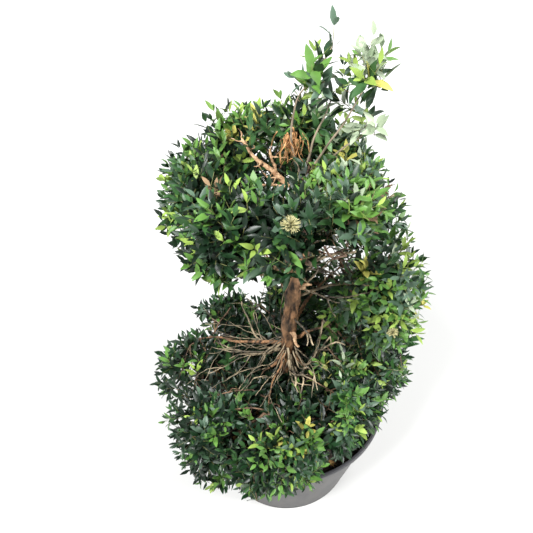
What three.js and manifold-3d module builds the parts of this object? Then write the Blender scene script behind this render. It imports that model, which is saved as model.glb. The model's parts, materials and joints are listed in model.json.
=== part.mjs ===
// A container-grown evergreen shrub clipped into a loose spiral, standing in its round plastic pot.
// Units are millimetres, +Z is up, and the origin is the middle of the pot's flat underside.
// Azimuths are degrees seen from above: 0 is +X (right), 90 is +Y (back), 180 left, 270 front.
// The clipped band of foliage climbs anticlockwise, so an azimuth past 360 is one turn higher up.
import * as THREE from 'three';
import { mergeVertices } from 'three/addons/utils/BufferGeometryUtils.js';
import Module from 'manifold-3d';

const wasm = await Module();
wasm.setup();

// ---- driving dimensions ----
const POT_HEIGHT = 336;
const POT_RIM_RADIUS = 240;
const POT_BASE_RADIUS = 187;
const POT_WALL = 3.5;
const LIP_DEPTH = 13;
const LIP_WIDTH = 6;
const SOIL_DROP = 34;
const SOIL_TOP = POT_HEIGHT - SOIL_DROP;
const CLEARANCE = 0.4;
const MASS_GAP = 5;
const SKIRT_HOLLOW = 48;
const RING_HOLLOW = 34;

// The trunk's line and thickness, from the potting mix to the fork.
const TRUNK = [
  { x: -11, y: 0, z: SOIL_TOP + CLEARANCE, radius: 31 },
  { x: -9, y: 1, z: 340, radius: 21.5 },
  { x: -5, y: 4, z: 450, radius: 18.5 },
  { x: -6, y: 3, z: 600, radius: 16.5 },
  { x: 0, y: -2, z: 740, radius: 14.5 },
  { x: 6, y: -1, z: 880, radius: 11.5 },
  { x: 8, y: 0, z: 1025, radius: 9.5 },
];

// The skirt closes a ring above the pot: its lower edge, upper edge and reach at each azimuth.
const SKIRT = [
  { azimuth: 0, bottom: 352, top: 575, reach: 292 },
  { azimuth: 45, bottom: 350, top: 434, reach: 290 },
  { azimuth: 90, bottom: 346, top: 455, reach: 296 },
  { azimuth: 135, bottom: 335, top: 515, reach: 322 },
  { azimuth: 180, bottom: 318, top: 530, reach: 342 },
  { azimuth: 225, bottom: 292, top: 545, reach: 350 },
  { azimuth: 270, bottom: 300, top: 572, reach: 320 },
  { azimuth: 315, bottom: 346, top: 645, reach: 262 },
  { azimuth: 360, bottom: 352, top: 575, reach: 292 },
];

// The band then climbs one and a half turns, drawing in as it goes.
const BAND = [
  { azimuth: 315, bottom: 560, top: 750, reach: 256 },
  { azimuth: 360, bottom: 580, top: 862, reach: 276 },
  { azimuth: 405, bottom: 440, top: 925, reach: 276 },
  { azimuth: 450, bottom: 575, top: 990, reach: 268 },
  { azimuth: 495, bottom: 715, top: 1062, reach: 262 },
  { azimuth: 540, bottom: 775, top: 1064, reach: 254 },
  { azimuth: 585, bottom: 825, top: 1078, reach: 238 },
  { azimuth: 630, bottom: 868, top: 1086, reach: 208 },
  { azimuth: 675, bottom: 880, top: 1092, reach: 184 },
  { azimuth: 720, bottom: 892, top: 1080, reach: 160 },
  { azimuth: 765, bottom: 936, top: 1085, reach: 148 },
  { azimuth: 810, bottom: 992, top: 1100, reach: 118 },
  { azimuth: 855, bottom: 1054, top: 1110, reach: 90 },
];

// Boughs leave the trunk at a height and azimuth, and run out by a reach with a rise.
const BOUGHS = [
  { name: 'bough_skirt_left', height: 522, azimuth: 172, reach: 230, rise: 12, radius: 7.5 },
  { name: 'bough_skirt_front_left', height: 496, azimuth: 214, reach: 230, rise: 4, radius: 5.5 },
  { name: 'bough_skirt_front', height: 512, azimuth: 258, reach: 190, rise: 18, radius: 5.5 },
  { name: 'bough_skirt_front_right', height: 500, azimuth: 312, reach: 190, rise: 66, radius: 5.5 },
  { name: 'bough_skirt_right', height: 468, azimuth: 352, reach: 190, rise: 40, radius: 6 },
  { name: 'bough_skirt_back_right', height: 440, azimuth: 40, reach: 200, rise: -30, radius: 5.5 },
  { name: 'bough_skirt_back', height: 462, azimuth: 88, reach: 200, rise: -40, radius: 5.5 },
  { name: 'bough_skirt_back_left', height: 488, azimuth: 130, reach: 215, rise: -20, radius: 6 },
  { name: 'bough_rise_right', height: 546, azimuth: 4, reach: 200, rise: 128, radius: 8 },
  { name: 'bough_rise_back_right', height: 600, azimuth: 42, reach: 190, rise: 130, radius: 8 },
  { name: 'bough_rise_back', height: 575, azimuth: 90, reach: 190, rise: 120, radius: 7 },
  { name: 'bough_ring_back', height: 700, azimuth: 66, reach: 180, rise: 120, radius: 6.5 },
  { name: 'bough_ring_back_left', height: 690, azimuth: 132, reach: 190, rise: 130, radius: 7 },
  { name: 'bough_ring_left', height: 765, azimuth: 182, reach: 190, rise: 110, radius: 6.5 },
  { name: 'bough_ring_front_left', height: 805, azimuth: 228, reach: 180, rise: 110, radius: 6 },
  { name: 'bough_ring_front', height: 850, azimuth: 275, reach: 150, rise: 90, radius: 5.5 },
  { name: 'bough_ring_front_right', height: 840, azimuth: 322, reach: 150, rise: 110, radius: 5.5 },
];

// Old limbs sawn off where the groove was cleared round the trunk.
const STUBS = [
  { name: 'stub_lower', height: 590, azimuth: 300, reach: 46, rise: -16, radius: 6.5 },
  { name: 'stub_middle', height: 735, azimuth: 345, reach: 36, rise: 20, radius: 6 },
  { name: 'stub_upper', height: 985, azimuth: 152, reach: 122, rise: 52, radius: 8 },
];

// Stems that fan out above the fork and carry the loose tuft.
const STEMS = [
  { name: 'stem_tall_shoot', radius: 3.2, tip: 1.4,
    line: [[2, 4, 1015], [-18, 4, 1060], [-16, 0, 1120], [0, -4, 1190], [24, -6, 1250]] },
  { name: 'stem_tuft_left', radius: 5, tip: 2, line: [[6, 0, 1018], [16, 8, 1070], [34, 16, 1125], [46, 20, 1185]] },
  { name: 'stem_tuft_middle', radius: 6.5, tip: 2, line: [[10, 0, 1015], [34, -6, 1072], [62, -10, 1130], [92, -12, 1215]] },
  { name: 'stem_tuft_right', radius: 5.5, tip: 2, line: [[12, 2, 1012], [52, 10, 1052], [92, 22, 1082], [120, 30, 1110]] },
];

// Loose clumps of leaves on those stems: centre and half size.
const CLUMPS = [
  { name: 'tuft_right', centre: [96, 12, 1112], size: [36, 52, 34] },
  { name: 'tuft_middle', centre: [86, -6, 1194], size: [38, 50, 46] },
  { name: 'tuft_back', centre: [40, 34, 1134], size: [26, 34, 40] },
  { name: 'tuft_shoot', centre: [10, -12, 1192], size: [32, 34, 42] },
  { name: 'tuft_tip', centre: [33, -2, 1251], size: [20, 20, 15] },
];

const BARK_SIDES = 9;
const MASS_AROUND = 12;
const MASS_ALONG = 8;

const parts = new THREE.Group();

function add(name, geometry, colour, roughness) {
  const mesh = new THREE.Mesh(geometry, new THREE.MeshStandardMaterial({ color: colour, roughness, metalness: 0 }));
  mesh.name = name;
  parts.add(mesh);
}

// ---- solids ----
function welded(geometry) {
  const plain = geometry.clone();
  plain.deleteAttribute('normal');
  plain.deleteAttribute('uv');
  return mergeVertices(plain, 1e-3);
}

// A bent primitive can come out mirrored, so its faces are turned to point outwards.
function facingOut(geometry) {
  const closed = welded(geometry);
  const corners = [0, 1, 2].map(() => new THREE.Vector3());
  const { array } = closed.index;
  let volume = 0;
  for (let i = 0; i < array.length; i += 3) {
    corners.forEach((corner, k) => corner.fromBufferAttribute(closed.attributes.position, array[i + k]));
    volume += corners[0].dot(corners[1].cross(corners[2]));
  }
  for (let i = 0; volume < 0 && i < array.length; i += 3) [array[i], array[i + 1]] = [array[i + 1], array[i]];
  return closed;
}

function toSolid(geometry) {
  const closed = welded(geometry);
  return new wasm.Manifold(new wasm.Mesh({
    numProp: 3,
    vertProperties: new Float32Array(closed.attributes.position.array),
    triVerts: new Uint32Array(closed.index.array),
  }));
}

function toGeometry(solid) {
  const mesh = solid.getMesh();
  const geometry = new THREE.BufferGeometry();
  geometry.setAttribute('position', new THREE.BufferAttribute(new Float32Array(mesh.vertProperties), 3));
  geometry.setIndex(new THREE.BufferAttribute(new Uint32Array(mesh.triVerts), 1));
  geometry.computeVertexNormals();
  return geometry;
}

// The same solid with its skin moved out by an amount, for cutting a neighbour clear of it.
function grown(geometry, amount) {
  const closed = welded(geometry);
  closed.computeVertexNormals();
  const { position, normal } = closed.attributes;
  for (let i = 0; i < position.count; i += 1) {
    const out = new THREE.Vector3().fromBufferAttribute(normal, i).multiplyScalar(amount);
    position.setXYZ(i, position.getX(i) + out.x, position.getY(i) + out.y, position.getZ(i) + out.z);
  }
  return toSolid(closed);
}

function largestPiece(solid) {
  return solid.decompose().reduce((best, piece) => (piece.volume() > best.volume() ? piece : best));
}

// ---- pot and potting mix ----
function lathed(profile, segments) {
  const geometry = new THREE.LatheGeometry(profile.map(([r, z]) => new THREE.Vector2(r, z)), segments);
  geometry.rotateX(Math.PI / 2);
  return facingOut(geometry);
}

function wallRadius(z) {
  return POT_BASE_RADIUS + ((POT_RIM_RADIUS - LIP_WIDTH - POT_BASE_RADIUS) * z) / POT_HEIGHT;
}

function addPot() {
  const underLip = POT_HEIGHT - LIP_DEPTH;
  add('pot', lathed([
    [0, 0],
    [POT_BASE_RADIUS, 0],
    [wallRadius(underLip), underLip],
    [POT_RIM_RADIUS, underLip + 1],
    [POT_RIM_RADIUS, POT_HEIGHT],
    [wallRadius(POT_HEIGHT) - POT_WALL, POT_HEIGHT],
    [wallRadius(POT_WALL) - POT_WALL, POT_WALL],
    [0, POT_WALL],
  ], 48), 0x6b6b6d, 0.55);
}

function addPottingMix() {
  const floor = POT_WALL + CLEARANCE;
  const side = POT_WALL + 2 * CLEARANCE;
  add('potting_mix', lathed([
    [0, floor],
    [wallRadius(floor) - side, floor],
    [wallRadius(SOIL_TOP - 8) - side, SOIL_TOP - 8],
    [TRUNK[0].radius * 4, SOIL_TOP - 3],
    [TRUNK[0].radius * 2, SOIL_TOP],
    [0, SOIL_TOP],
  ], 36), 0x2b2420, 0.95);
}

// ---- masses of foliage ----
// Foliage may hang outside the pot, but never through its wall or lip.
const potSpace = toSolid(lathed([
  [0, -1],
  [POT_RIM_RADIUS + 3, -1],
  [POT_RIM_RADIUS + 3, POT_HEIGHT + 3],
  [0, POT_HEIGHT + 3],
], 48));
const masses = [];

function stationAt(stations, azimuth, key) {
  const turned = stations === SKIRT ? (azimuth + 360) % 360 : azimuth;
  let i = 0;
  while (i < stations.length - 2 && turned > stations[i + 1].azimuth) i += 1;
  const [before, after] = [stations[i], stations[i + 1]];
  const share = THREE.MathUtils.smoothstep(turned, before.azimuth, after.azimuth);
  return THREE.MathUtils.lerp(before[key], after[key], share);
}

function blunt(value, exponent) {
  return Math.sign(value) * Math.abs(value) ** exponent;
}

// 0 where the surface is full, up to 1 where the clippers have dipped into it.
function dip(x, y, z, seed) {
  const slow = Math.sin(x * 2.3 + seed * 1.7) * Math.cos(y * 2.9 - seed * 0.6);
  const quick = Math.sin(x * 5.1 - y * 4.3 + z * 3.7 + seed * 2.9);
  return 0.5 - 0.3 * slow - 0.2 * quick;
}

function keepMass(name, geometry, colour) {
  const trimmed = toGeometry(largestPiece(toSolid(facingOut(geometry)).subtract(potSpace)));
  masses.push(grown(trimmed, CLEARANCE));
  add(name, trimmed, colour, 0.6);
}

// One length of the band: a blunt bolster bent round the trunk from one azimuth to another.
// low and high take a part of the band's height, so that a tall length can be stacked.
function bandMass({ name, stations, from, to, hollow, low = 0, high = 1, rough = 0.13 }) {
  const geometry = new THREE.SphereGeometry(1, MASS_AROUND, MASS_ALONG);
  const place = geometry.attributes.position;
  const seed = masses.length + 1;
  const middle = (from + to) / 2;
  const halfTurn = (to - from) / 2 - 1.3;
  for (let i = 0; i < place.count; i += 1) {
    const [x, y, z] = [place.getX(i), place.getY(i), place.getZ(i)];
    const round = Math.hypot(x, z) || 1;
    const section = Math.hypot(x, z) ** 0.4 * (1 - rough * dip(x, y, z, seed));
    const azimuth = middle + blunt(y, 0.5) * halfTurn * (1 - 0.5 * rough * dip(z, x, y, seed));
    const bottomEdge = stationAt(stations, azimuth, 'bottom');
    const height = stationAt(stations, azimuth, 'top') - bottomEdge;
    const bottom = bottomEdge + height * low + MASS_GAP / 2;
    const top = bottomEdge + height * high - MASS_GAP / 2;
    const reach = stationAt(stations, azimuth, 'reach');
    const radius = (reach + hollow) / 2 + (blunt(x / round, 0.8) * section * (reach - hollow)) / 2;
    const level = (top + bottom) / 2 + (blunt(z / round, 0.8) * section * (top - bottom)) / 2;
    const turn = THREE.MathUtils.degToRad(azimuth);
    place.setXYZ(i, radius * Math.cos(turn), radius * Math.sin(turn), level);
  }
  keepMass(name, geometry, 0x2f5a2c);
}

// A loose clump on the tuft: an uneven egg about its own centre.
function clumpMass({ name, centre, size, rough = 0.2 }) {
  const geometry = new THREE.SphereGeometry(1, MASS_AROUND - 2, MASS_ALONG - 2);
  geometry.rotateX(Math.PI / 2);
  const place = geometry.attributes.position;
  const seed = masses.length + 1;
  for (let i = 0; i < place.count; i += 1) {
    const point = [place.getX(i), place.getY(i), place.getZ(i)];
    const full = Math.abs(point[2]) > 0.99 ? 1 : 1 - rough * dip(...point, seed);
    place.setXYZ(i, ...point.map((value, k) => centre[k] + value * size[k] * full));
  }
  keepMass(name, geometry, 0x4a7a34);
}

function addMasses() {
  const sides = ['right', 'back_right', 'back', 'back_left', 'left', 'front_left', 'front', 'front_right'];
  sides.forEach((side, i) => {
    const turn = i === 0 ? 360 : i * 45;
    bandMass({ name: `skirt_${side}`, stations: SKIRT, from: turn - 22.5, to: turn + 22.5, hollow: SKIRT_HOLLOW });
  });
  bandMass({ name: 'rise_right', stations: BAND, from: 334, to: 382.5, hollow: SKIRT_HOLLOW });
  ['low', 'high'].forEach((half, i) => {
    const share = { low: i / 2, high: (i + 1) / 2 };
    bandMass({ name: `rise_back_right_${half}`, stations: BAND, from: 382.5, to: 427.5, hollow: SKIRT_HOLLOW, ...share });
    bandMass({ name: `rise_back_${half}`, stations: BAND, from: 427.5, to: 472.5, hollow: SKIRT_HOLLOW, ...share });
  });
  ['back_left', 'left', 'front_left', 'front', 'front_right'].forEach((side, i) => {
    const turn = 495 + i * 45;
    const hollow = i < 2 ? RING_HOLLOW * 2 : RING_HOLLOW;
    bandMass({ name: `ring_${side}`, stations: BAND, from: turn - 22.5, to: turn + 22.5, hollow });
  });
  ['right', 'back_right', 'back'].forEach((side, i) => {
    const turn = 720 + i * 45;
    bandMass({ name: `crown_${side}`, stations: BAND, from: turn - 22.5, to: turn + 22.5, hollow: RING_HOLLOW });
  });
  CLUMPS.forEach(clumpMass);
}

// ---- trunk, boughs and stems ----
const limbs = [];

// A closed cylinder bent along a line and given its own thickness at each step.
function bentLimb(points, radiusAt, steps, flatFoot) {
  const curve = new THREE.CatmullRomCurve3(points);
  const geometry = new THREE.CylinderGeometry(1, 1, 1, BARK_SIDES, steps);
  const frames = curve.computeFrenetFrames(steps, false);
  const place = geometry.attributes.position;
  for (let i = 0; i < place.count; i += 1) {
    const share = place.getY(i) + 0.5;
    const step = Math.round(share * steps);
    const radius = radiusAt(share);
    const side = frames.normals[step].clone().multiplyScalar(place.getX(i) * radius);
    side.addScaledVector(frames.binormals[step], place.getZ(i) * radius);
    if (flatFoot && step === 0) side.setZ(0);
    const point = curve.getPointAt(share).add(side);
    place.setXYZ(i, point.x, point.y, point.z);
  }
  return facingOut(geometry);
}

function trunkAt(height, key) {
  let i = 0;
  while (i < TRUNK.length - 2 && height > TRUNK[i + 1].z) i += 1;
  const share = THREE.MathUtils.clamp((height - TRUNK[i].z) / (TRUNK[i + 1].z - TRUNK[i].z), 0, 1);
  return THREE.MathUtils.lerp(TRUNK[i][key], TRUNK[i + 1][key], share);
}

function addTrunk() {
  const line = TRUNK.map(({ x, y, z }) => new THREE.Vector3(x, y, z));
  const length = TRUNK[TRUNK.length - 1].z - TRUNK[0].z;
  const ridges = (share) => 1 + 0.04 * Math.sin(share * 31);
  const geometry = bentLimb(line, (share) => trunkAt(TRUNK[0].z + share * length, 'radius') * ridges(share), 22, true);
  limbs.push(grown(geometry, CLEARANCE));
  add('trunk', geometry, 0x8a6a52, 0.85);
}

// A limb stops short of the trunk, of limbs already placed and, for boughs, of the foliage it enters.
function addLimb(name, points, radius, tip, steps, colour, entersFoliage) {
  const whole = bentLimb(points, (share) => THREE.MathUtils.lerp(radius, tip, share ** 0.8), steps, false);
  const neighbours = entersFoliage ? [...limbs, ...masses] : limbs;
  const cut = neighbours.reduce((rest, neighbour) => rest.subtract(neighbour), toSolid(whole));
  limbs.push(grown(whole, CLEARANCE));
  add(name, toGeometry(largestPiece(cut)), colour, 0.85);
}

function outwards({ height, azimuth, reach, rise }, index) {
  const turn = THREE.MathUtils.degToRad(azimuth);
  const bend = 0.06 * reach * Math.sin(index * 2.4);
  return [0, 0.3, 0.65, 1].map((share) => {
    const sideways = bend * Math.sin(share * Math.PI);
    return new THREE.Vector3(
      trunkAt(height, 'x') + share * reach * Math.cos(turn) - sideways * Math.sin(turn),
      trunkAt(height, 'y') + share * reach * Math.sin(turn) + sideways * Math.cos(turn),
      height + rise * share ** 1.3,
    );
  });
}

function addBoughs() {
  BOUGHS.forEach((bough, i) => {
    addLimb(bough.name, outwards(bough, i), bough.radius, bough.radius * 0.55, 7, 0x7c5f4b, true);
  });
  STUBS.forEach((stub, i) => {
    addLimb(stub.name, outwards(stub, i + 1), stub.radius, stub.radius * 0.7, 4, 0xb98560, true);
  });
  STEMS.forEach(({ name, radius, tip, line }) => {
    addLimb(name, line.map((point) => new THREE.Vector3(...point)), radius, tip, 9, 0x8f7460, true);
  });
}

addPot();
addPottingMix();
addMasses();
addTrunk();
addBoughs();

export default parts;
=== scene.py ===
# A small-leaved evergreen shrub clipped into a loose spiral, in its round plastic nursery pot.
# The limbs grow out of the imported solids, and twigs and leaves grow on from the limbs by a seeded rule.
import json
import math
import bpy
import numpy as np
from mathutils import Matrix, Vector
from mathutils.bvhtree import BVHTree

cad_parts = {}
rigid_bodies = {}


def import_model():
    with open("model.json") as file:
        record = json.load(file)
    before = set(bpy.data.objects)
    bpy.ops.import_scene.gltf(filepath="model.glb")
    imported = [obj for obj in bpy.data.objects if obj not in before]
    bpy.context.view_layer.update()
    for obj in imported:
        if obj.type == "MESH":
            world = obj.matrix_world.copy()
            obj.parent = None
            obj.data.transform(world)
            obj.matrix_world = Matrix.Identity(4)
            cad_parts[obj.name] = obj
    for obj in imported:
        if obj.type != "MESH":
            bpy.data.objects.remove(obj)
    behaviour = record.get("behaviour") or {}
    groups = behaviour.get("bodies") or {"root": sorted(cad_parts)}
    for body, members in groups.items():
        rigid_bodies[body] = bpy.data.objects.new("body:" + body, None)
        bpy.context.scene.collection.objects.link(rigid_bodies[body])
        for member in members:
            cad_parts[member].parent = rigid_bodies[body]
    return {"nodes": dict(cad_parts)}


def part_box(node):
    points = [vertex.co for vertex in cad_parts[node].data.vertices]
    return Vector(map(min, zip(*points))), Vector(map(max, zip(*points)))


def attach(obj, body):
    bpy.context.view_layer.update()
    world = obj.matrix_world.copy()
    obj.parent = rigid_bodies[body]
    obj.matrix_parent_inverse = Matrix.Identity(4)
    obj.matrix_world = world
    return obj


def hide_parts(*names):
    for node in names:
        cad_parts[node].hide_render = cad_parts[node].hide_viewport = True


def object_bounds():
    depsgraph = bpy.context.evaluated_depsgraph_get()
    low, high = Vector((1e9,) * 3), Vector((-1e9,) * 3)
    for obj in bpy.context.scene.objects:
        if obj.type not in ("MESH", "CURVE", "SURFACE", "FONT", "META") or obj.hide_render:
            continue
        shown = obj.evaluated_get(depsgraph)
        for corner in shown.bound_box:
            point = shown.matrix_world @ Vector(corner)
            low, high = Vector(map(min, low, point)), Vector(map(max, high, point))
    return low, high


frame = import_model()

cad_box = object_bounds()
bpy.ops.object.select_all(action="DESELECT")
rim_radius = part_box("pot")[1][0]
pot_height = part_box("pot")[1][2]


# ---- The view ----
# A hand-held camera at head height, close to the plant and tipped down at it, slightly to the left.
view_tip = 48.2
view_swing = 4.5
view_back = 2.93 * rim_radius
view_height = 6.57 * rim_radius
bpy.ops.object.camera_add(
    location=(0.0, -view_back, view_height),
    rotation=(math.radians(90 - view_tip), 0, math.radians(view_swing)),
)
camera = bpy.context.object
camera.data.lens = 37.15
camera.data.sensor_width = 36
camera.data.clip_start = 0.02
bpy.context.scene.camera = camera


# ---- The studio ----
# A pale floor that runs to the horizon under three soft lamps: the main one high in front to the left, a
# broader one to the right, and a weak one behind.
def linear(colour):
    channels = [int(colour[i : i + 2], 16) / 255 for i in (1, 3, 5)]
    return tuple(c / 12.92 if c <= 0.04045 else ((c + 0.055) / 1.055) ** 2.4 for c in channels) + (1,)


def add_node(material, kind, settings=None, **links):
    """A node with its settings, its inputs set to values or linked from other nodes' outputs.

    A colour Mix has its share, first colour and second colour at inputs 0, 6 and 7. The stops of a
    colour ramp are given as pairs of a place and an sRGB hex colour."""
    node = material.node_tree.nodes.new(kind)
    for name, value in (settings or {}).items():
        if name == "stops":
            for stop, (at, colour) in zip(node.color_ramp.elements, value):
                stop.position = at
                stop.color = linear(colour)
        else:
            setattr(node, name, value)
    for name, value in links.items():
        socket = node.inputs[int(name[1:])] if name[1:].isdigit() else node.inputs[name.replace("_", " ")]
        if isinstance(value, bpy.types.NodeSocket):
            material.node_tree.links.new(value, socket)
        else:
            socket.default_value = value
    return node


def new_material(name, **settings):
    material = bpy.data.materials.new(name)
    material.use_nodes = True
    shader = material.node_tree.nodes["Principled BSDF"]
    for setting, value in settings.items():
        shader.inputs[setting.replace("_", " ")].default_value = value
    return material, shader


bpy.ops.mesh.primitive_plane_add(size=60, location=(0, 0, 0))
floor = bpy.context.object
floor.name = "studio_floor"
# Matt white paint, lit a little from within away from the pot, so that only soft shadow shows on it.
floor_paint, shader = new_material(
    "matt_white_floor", Base_Color=linear("#c2c2c0"), Roughness=0.9, Emission_Color=linear("#ffffff")
)
floor_place = add_node(floor_paint, "ShaderNodeTexCoord").outputs["Object"]
floor_reach = add_node(floor_paint, "ShaderNodeVectorMath", {"operation": "LENGTH"}, _0=floor_place)
floor_glow = add_node(
    floor_paint, "ShaderNodeMapRange", Value=floor_reach.outputs["Value"],
    From_Min=0.7, From_Max=2.4, To_Min=0.2, To_Max=0.85,
)
floor_paint.node_tree.links.new(floor_glow.outputs[0], shader.inputs["Emission Strength"])
floor.data.materials.append(floor_paint)

middle_of_plant = Vector((0, 0, 0.65))
for name, place, size, power in [
    ("key_softbox", (-1.1, -1.3, 3.2), 0.7, 150),
    ("fill_softbox", (2.4, -0.5, 2.6), 1.0, 125),
    ("back_softbox", (0.8, 2.6, 2.6), 2.0, 45),
]:
    bpy.ops.object.light_add(type="AREA", location=place)
    lamp = bpy.context.object
    lamp.name = name
    lamp.data.size = size
    lamp.data.energy = power
    lamp.rotation_euler = (middle_of_plant - Vector(place)).to_track_quat("-Z", "Y").to_euler()

# The air lights the plant softly, and looks pale where it shows above the floor's far edge.
world = bpy.data.worlds.new("studio_air")
bpy.context.scene.world = world
world.use_nodes = True
air = world.node_tree.nodes["Background"]
air.inputs["Color"].default_value = (0.95, 0.97, 1.0, 1)
seen = add_node(world, "ShaderNodeLightPath").outputs["Is Camera Ray"]
air_strength = add_node(world, "ShaderNodeMapRange", Value=seen, To_Min=0.36, To_Max=0.88)
world.node_tree.links.new(air_strength.outputs[0], air.inputs["Strength"])
bpy.context.scene.view_settings.view_transform = "Standard"


# ---- The pot ----
# A round nursery pot blow-moulded in charcoal polyethylene, with a rolled lip and a small foot step.
# One disc is extruded up the outside, over the lip and down the inside, as the mould shapes the wall.
def pot_profile():
    """Radius and height of each step of the wall, from the foot over the lip to the inner bottom."""
    wall = 0.0035
    lip_depth = 0.013
    lip_width = 0.006
    base_radius = rim_radius * 187 / 240
    slope = (rim_radius - lip_width - base_radius) / pot_height

    def outside(z):
        return base_radius + slope * z

    under_lip = pot_height - lip_depth
    # The foot stands out half a millimetre, with a narrow groove above it.
    steps = [(outside(0.0), 0.0015), (outside(0.008) + 0.0004, 0.007), (outside(0.012) - 0.0012, 0.010)]
    steps += [(outside(z), z) for z in np.linspace(0.014, under_lip - 0.002, 24)]
    steps += [(rim_radius - 0.0012, under_lip), (rim_radius, under_lip + 0.0015)]
    roll = 0.003
    for angle in np.radians([0, 30, 60, 90]):
        steps.append((rim_radius - roll + roll * math.cos(angle), pot_height - roll + roll * math.sin(angle)))
    inner = outside(pot_height) - wall
    steps += [(inner + 0.0015, pot_height), (inner, pot_height - 0.0015)]
    steps += [(outside(z) - wall, z) for z in (0.3, 0.2, 0.1, 0.004)]
    return base_radius, steps


base_radius, steps = pot_profile()
bpy.ops.mesh.primitive_circle_add(vertices=144, radius=base_radius - 0.0015, fill_type="NGON")
pot = bpy.context.object
pot.name = "nursery_pot"
bpy.ops.object.mode_set(mode="EDIT")
bpy.ops.mesh.select_all(action="SELECT")
radius_now, height_now = base_radius - 0.0015, 0.0
for radius, height in steps:
    lift = (0, 0, height - height_now)
    bpy.ops.mesh.extrude_region_move(TRANSFORM_OT_translate={"value": lift})
    share = radius / radius_now
    bpy.ops.transform.resize(value=(share, share, 1))
    radius_now, height_now = radius, height
bpy.ops.mesh.select_all(action="SELECT")
bpy.ops.mesh.normals_make_consistent(inside=False)
bpy.ops.object.mode_set(mode="OBJECT")
bpy.ops.object.shade_smooth_by_angle(angle=math.radians(40))


def lumps(name, size, depth=2):
    """A cloudy pattern with lumps of this size in metres."""
    texture = bpy.data.textures.new(name, "CLOUDS")
    texture.noise_scale = size
    texture.noise_depth = depth
    return texture


def push_skin(piece, strength, **settings):
    """Pushes a piece's skin out and in, by a pattern or all alike."""
    push = piece.modifiers.new("push", "DISPLACE")
    push.strength = strength
    for name, value in settings.items():
        setattr(push, name, value)
    bpy.ops.object.modifier_apply(modifier="push")


# The thin wall is never quite round: a slow wave of a millimetre or so, none at the foot.
soft_wall = pot.vertex_groups.new(name="soft_wall")
for vertex in pot.data.vertices:
    soft_wall.add([vertex.index], min(1.0, max(0.0, (vertex.co.z - 0.03) / 0.2)), "REPLACE")
push_skin(pot, 0.003, texture=lumps("wall_wave", 0.22), mid_level=0.6, vertex_group="soft_wall")

# Sun-faded polyethylene: charcoal gone grey, with a chalky bloom, splashed dirt and a fine mould grain.
plastic, shader = new_material("faded_polyethylene", Roughness=0.5, IOR=1.5)
place = add_node(plastic, "ShaderNodeTexCoord").outputs["Object"]
streaks_at = add_node(plastic, "ShaderNodeMapping", Vector=place, Scale=(14, 14, 2.2))
streaks = add_node(
    plastic, "ShaderNodeTexNoise", Vector=streaks_at.outputs[0], Scale=2.4, Detail=6.0, Roughness=0.6
)
bloom = add_node(
    plastic, "ShaderNodeValToRGB", {"stops": ((0.32, "#3d3c3e"), (0.72, "#54514f"))}, Fac=streaks.outputs[0]
)
spots = add_node(plastic, "ShaderNodeTexNoise", Vector=place, Scale=60.0, Detail=5.0, Roughness=0.7)
dirt = add_node(plastic, "ShaderNodeValToRGB", Fac=spots.outputs[0])
dirt.color_ramp.elements[0].position = 0.6
dirt.color_ramp.elements[1].position = 0.78
dirt.color_ramp.elements[1].color = (0.5, 0.5, 0.5, 1)
dirty = add_node(
    plastic, "ShaderNodeMix", {"data_type": "RGBA"},
    _0=dirt.outputs[0], _6=bloom.outputs[0], _7=linear("#5f554c"),
)
height_at = add_node(plastic, "ShaderNodeSeparateXYZ", Vector=place)
lip_mask = add_node(
    plastic, "ShaderNodeMapRange",
    Value=height_at.outputs["Z"], From_Min=pot_height - 0.0145, From_Max=pot_height - 0.0125, To_Max=0.85,
)
lip_colour = add_node(
    plastic, "ShaderNodeMix", {"data_type": "RGBA"},
    _0=lip_mask.outputs[0], _6=dirty.outputs["Result"], _7=linear("#37373c"),
)
plastic.node_tree.links.new(lip_colour.outputs["Result"], shader.inputs["Base Color"])
grain = add_node(plastic, "ShaderNodeTexNoise", Vector=place, Scale=900.0, Detail=2.0)
grain_bump = add_node(plastic, "ShaderNodeBump", Height=grain.outputs[0], Strength=0.12, Distance=0.0005)
plastic.node_tree.links.new(grain_bump.outputs[0], shader.inputs["Normal"])
pot.data.materials.clear()
pot.data.materials.append(plastic)
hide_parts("pot")
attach(pot, "root")


# ---- The potting mix ----
# Composted bark and peat, moist and nearly black, heaped slightly at the stem, with chips lying on it.
mix_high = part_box("potting_mix")[1]
mix_radius = mix_high[0]
bpy.ops.mesh.primitive_cylinder_add(
    vertices=96, radius=mix_radius - 0.0015, depth=0.012, location=(0, 0, mix_high[2] - 0.012),
    end_fill_type="NGON",
)
mix = bpy.context.object
mix.name = "potting_mix_top"
bpy.ops.object.transform_apply(location=True, rotation=False, scale=False)
top_face = max(range(len(mix.data.polygons)), key=lambda k: mix.data.polygons[k].center.z)
bpy.ops.object.mode_set(mode="EDIT")
bpy.ops.mesh.select_mode(type="FACE")
bpy.ops.mesh.select_all(action="DESELECT")
bpy.ops.object.mode_set(mode="OBJECT")
mix.data.polygons[top_face].select = True
bpy.ops.object.mode_set(mode="EDIT")
rings = 26
for ring in range(rings):
    bpy.ops.mesh.inset(thickness=mix_radius / (rings + 1), depth=0.00012 * (rings - ring) / rings)
bpy.ops.object.mode_set(mode="OBJECT")
bpy.ops.object.shade_smooth()
push_skin(mix, 0.008, texture=lumps("mounds", 0.06), direction="Z", mid_level=0.55)
push_skin(mix, 0.006, texture=lumps("crumb", 0.011, 3), direction="Z", mid_level=0.55)


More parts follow.
